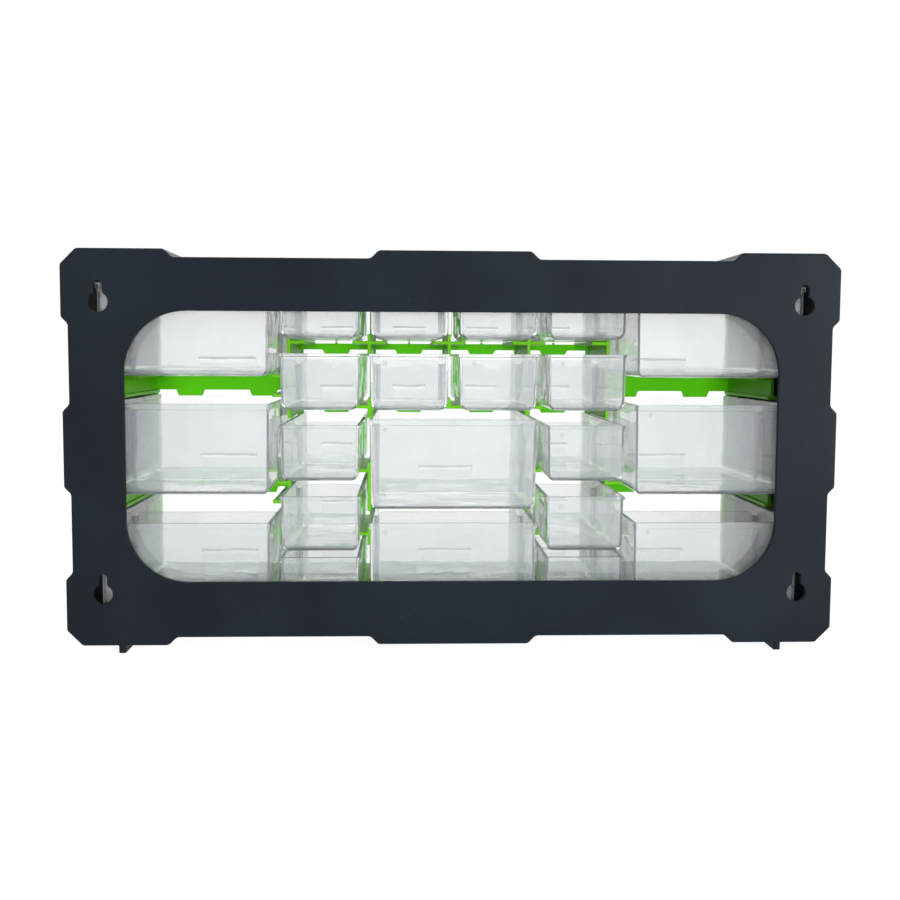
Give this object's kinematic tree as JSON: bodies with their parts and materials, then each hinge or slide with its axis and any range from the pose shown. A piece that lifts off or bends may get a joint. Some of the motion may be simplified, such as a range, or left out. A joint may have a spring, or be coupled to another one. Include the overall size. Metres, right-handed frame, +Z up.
{
  "type": "parts bin cabinet",
  "caption": "Wall-hung or free-standing parts cabinet: moulded casing with a rear window, a railed grid and clear sliding drawers with divider plates.",
  "frame": {"origin": "on the ground under the middle of the cabinet's bounding box", "axes": "+Z up, +X along the width, -Y the way the drawers open, so the rear wall faces +Y"},
  "size_m": [0.495, 0.16, 0.258],
  "materials": {
    "casing": "fine-grained moulded",
    "grid": "satin moulded",
    "drawer": "clear moulded plastic",
    "divider": "clear moulded plastic"
  },
  "bodies": {
    "cabinet": {"casing": "casing", "drawer_grid": "grid"},
    "small_drawer_1_body": {"small_drawer_1": "drawer", "small_divider_1": "divider"},
    "small_drawer_2_body": {"small_drawer_2": "drawer", "small_divider_2": "divider"},
    "small_drawer_3_body": {"small_drawer_3": "drawer", "small_divider_3": "divider"},
    "small_drawer_4_body": {"small_drawer_4": "drawer", "small_divider_4": "divider"},
    "small_drawer_5_body": {"small_drawer_5": "drawer", "small_divider_5": "divider"},
    "small_drawer_6_body": {"small_drawer_6": "drawer", "small_divider_6": "divider"},
    "small_drawer_7_body": {"small_drawer_7": "drawer", "small_divider_7": "divider"},
    "small_drawer_8_body": {"small_drawer_8": "drawer", "small_divider_8": "divider"},
    "small_drawer_9_body": {"small_drawer_9": "drawer", "small_divider_9": "divider"},
    "small_drawer_10_body": {"small_drawer_10": "drawer", "small_divider_10": "divider"},
    "small_drawer_11_body": {"small_drawer_11": "drawer", "small_divider_11": "divider"},
    "small_drawer_12_body": {"small_drawer_12": "drawer", "small_divider_12": "divider"},
    "small_drawer_13_body": {"small_drawer_13": "drawer", "small_divider_13": "divider"},
    "small_drawer_14_body": {"small_drawer_14": "drawer", "small_divider_14": "divider"},
    "large_drawer_1_body": {"large_drawer_1": "drawer", "large_divider_1": "divider"},
    "large_drawer_2_body": {"large_drawer_2": "drawer", "large_divider_2": "divider"},
    "large_drawer_3_body": {"large_drawer_3": "drawer", "large_divider_3": "divider"},
    "large_drawer_4_body": {"large_drawer_4": "drawer", "large_divider_4": "divider"},
    "large_drawer_5_body": {"large_drawer_5": "drawer", "large_divider_5": "divider"},
    "large_drawer_6_body": {"large_drawer_6": "drawer", "large_divider_6": "divider"},
    "large_drawer_7_body": {"large_drawer_7": "drawer", "large_divider_7": "divider"},
    "large_drawer_8_body": {"large_drawer_8": "drawer", "large_divider_8": "divider"}
  },
  "joints": [
    {"name": "small_drawer_1_slide", "type": "slide", "parent": "cabinet", "child": "small_drawer_1_body", "axis": [0, -1, 0], "range_m": [0, 0.133]},
    {"name": "small_drawer_2_slide", "type": "slide", "parent": "cabinet", "child": "small_drawer_2_body", "axis": [0, -1, 0], "range_m": [0, 0.133]},
    {"name": "small_drawer_3_slide", "type": "slide", "parent": "cabinet", "child": "small_drawer_3_body", "axis": [0, -1, 0], "range_m": [0, 0.133]},
    {"name": "small_drawer_4_slide", "type": "slide", "parent": "cabinet", "child": "small_drawer_4_body", "axis": [0, -1, 0], "range_m": [0, 0.133]},
    {"name": "small_drawer_5_slide", "type": "slide", "parent": "cabinet", "child": "small_drawer_5_body", "axis": [0, -1, 0], "range_m": [0, 0.133]},
    {"name": "small_drawer_6_slide", "type": "slide", "parent": "cabinet", "child": "small_drawer_6_body", "axis": [0, -1, 0], "range_m": [0, 0.133]},
    {"name": "small_drawer_7_slide", "type": "slide", "parent": "cabinet", "child": "small_drawer_7_body", "axis": [0, -1, 0], "range_m": [0, 0.133]},
    {"name": "small_drawer_8_slide", "type": "slide", "parent": "cabinet", "child": "small_drawer_8_body", "axis": [0, -1, 0], "range_m": [0, 0.133]},
    {"name": "small_drawer_9_slide", "type": "slide", "parent": "cabinet", "child": "small_drawer_9_body", "axis": [0, -1, 0], "range_m": [0, 0.133]},
    {"name": "small_drawer_10_slide", "type": "slide", "parent": "cabinet", "child": "small_drawer_10_body", "axis": [0, -1, 0], "range_m": [0, 0.133]},
    {"name": "small_drawer_11_slide", "type": "slide", "parent": "cabinet", "child": "small_drawer_11_body", "axis": [0, -1, 0], "range_m": [0, 0.133]},
    {"name": "small_drawer_12_slide", "type": "slide", "parent": "cabinet", "child": "small_drawer_12_body", "axis": [0, -1, 0], "range_m": [0, 0.133]},
    {"name": "small_drawer_13_slide", "type": "slide", "parent": "cabinet", "child": "small_drawer_13_body", "axis": [0, -1, 0], "range_m": [0, 0.133]},
    {"name": "small_drawer_14_slide", "type": "slide", "parent": "cabinet", "child": "small_drawer_14_body", "axis": [0, -1, 0], "range_m": [0, 0.133]},
    {"name": "large_drawer_1_slide", "type": "slide", "parent": "cabinet", "child": "large_drawer_1_body", "axis": [0, -1, 0], "range_m": [0, 0.133]},
    {"name": "large_drawer_2_slide", "type": "slide", "parent": "cabinet", "child": "large_drawer_2_body", "axis": [0, -1, 0], "range_m": [0, 0.133]},
    {"name": "large_drawer_3_slide", "type": "slide", "parent": "cabinet", "child": "large_drawer_3_body", "axis": [0, -1, 0], "range_m": [0, 0.133]},
    {"name": "large_drawer_4_slide", "type": "slide", "parent": "cabinet", "child": "large_drawer_4_body", "axis": [0, -1, 0], "range_m": [0, 0.133]},
    {"name": "large_drawer_5_slide", "type": "slide", "parent": "cabinet", "child": "large_drawer_5_body", "axis": [0, -1, 0], "range_m": [0, 0.133]},
    {"name": "large_drawer_6_slide", "type": "slide", "parent": "cabinet", "child": "large_drawer_6_body", "axis": [0, -1, 0], "range_m": [0, 0.133]},
    {"name": "large_drawer_7_slide", "type": "slide", "parent": "cabinet", "child": "large_drawer_7_body", "axis": [0, -1, 0], "range_m": [0, 0.133]},
    {"name": "large_drawer_8_slide", "type": "slide", "parent": "cabinet", "child": "large_drawer_8_body", "axis": [0, -1, 0], "range_m": [0, 0.133]}
  ]
}
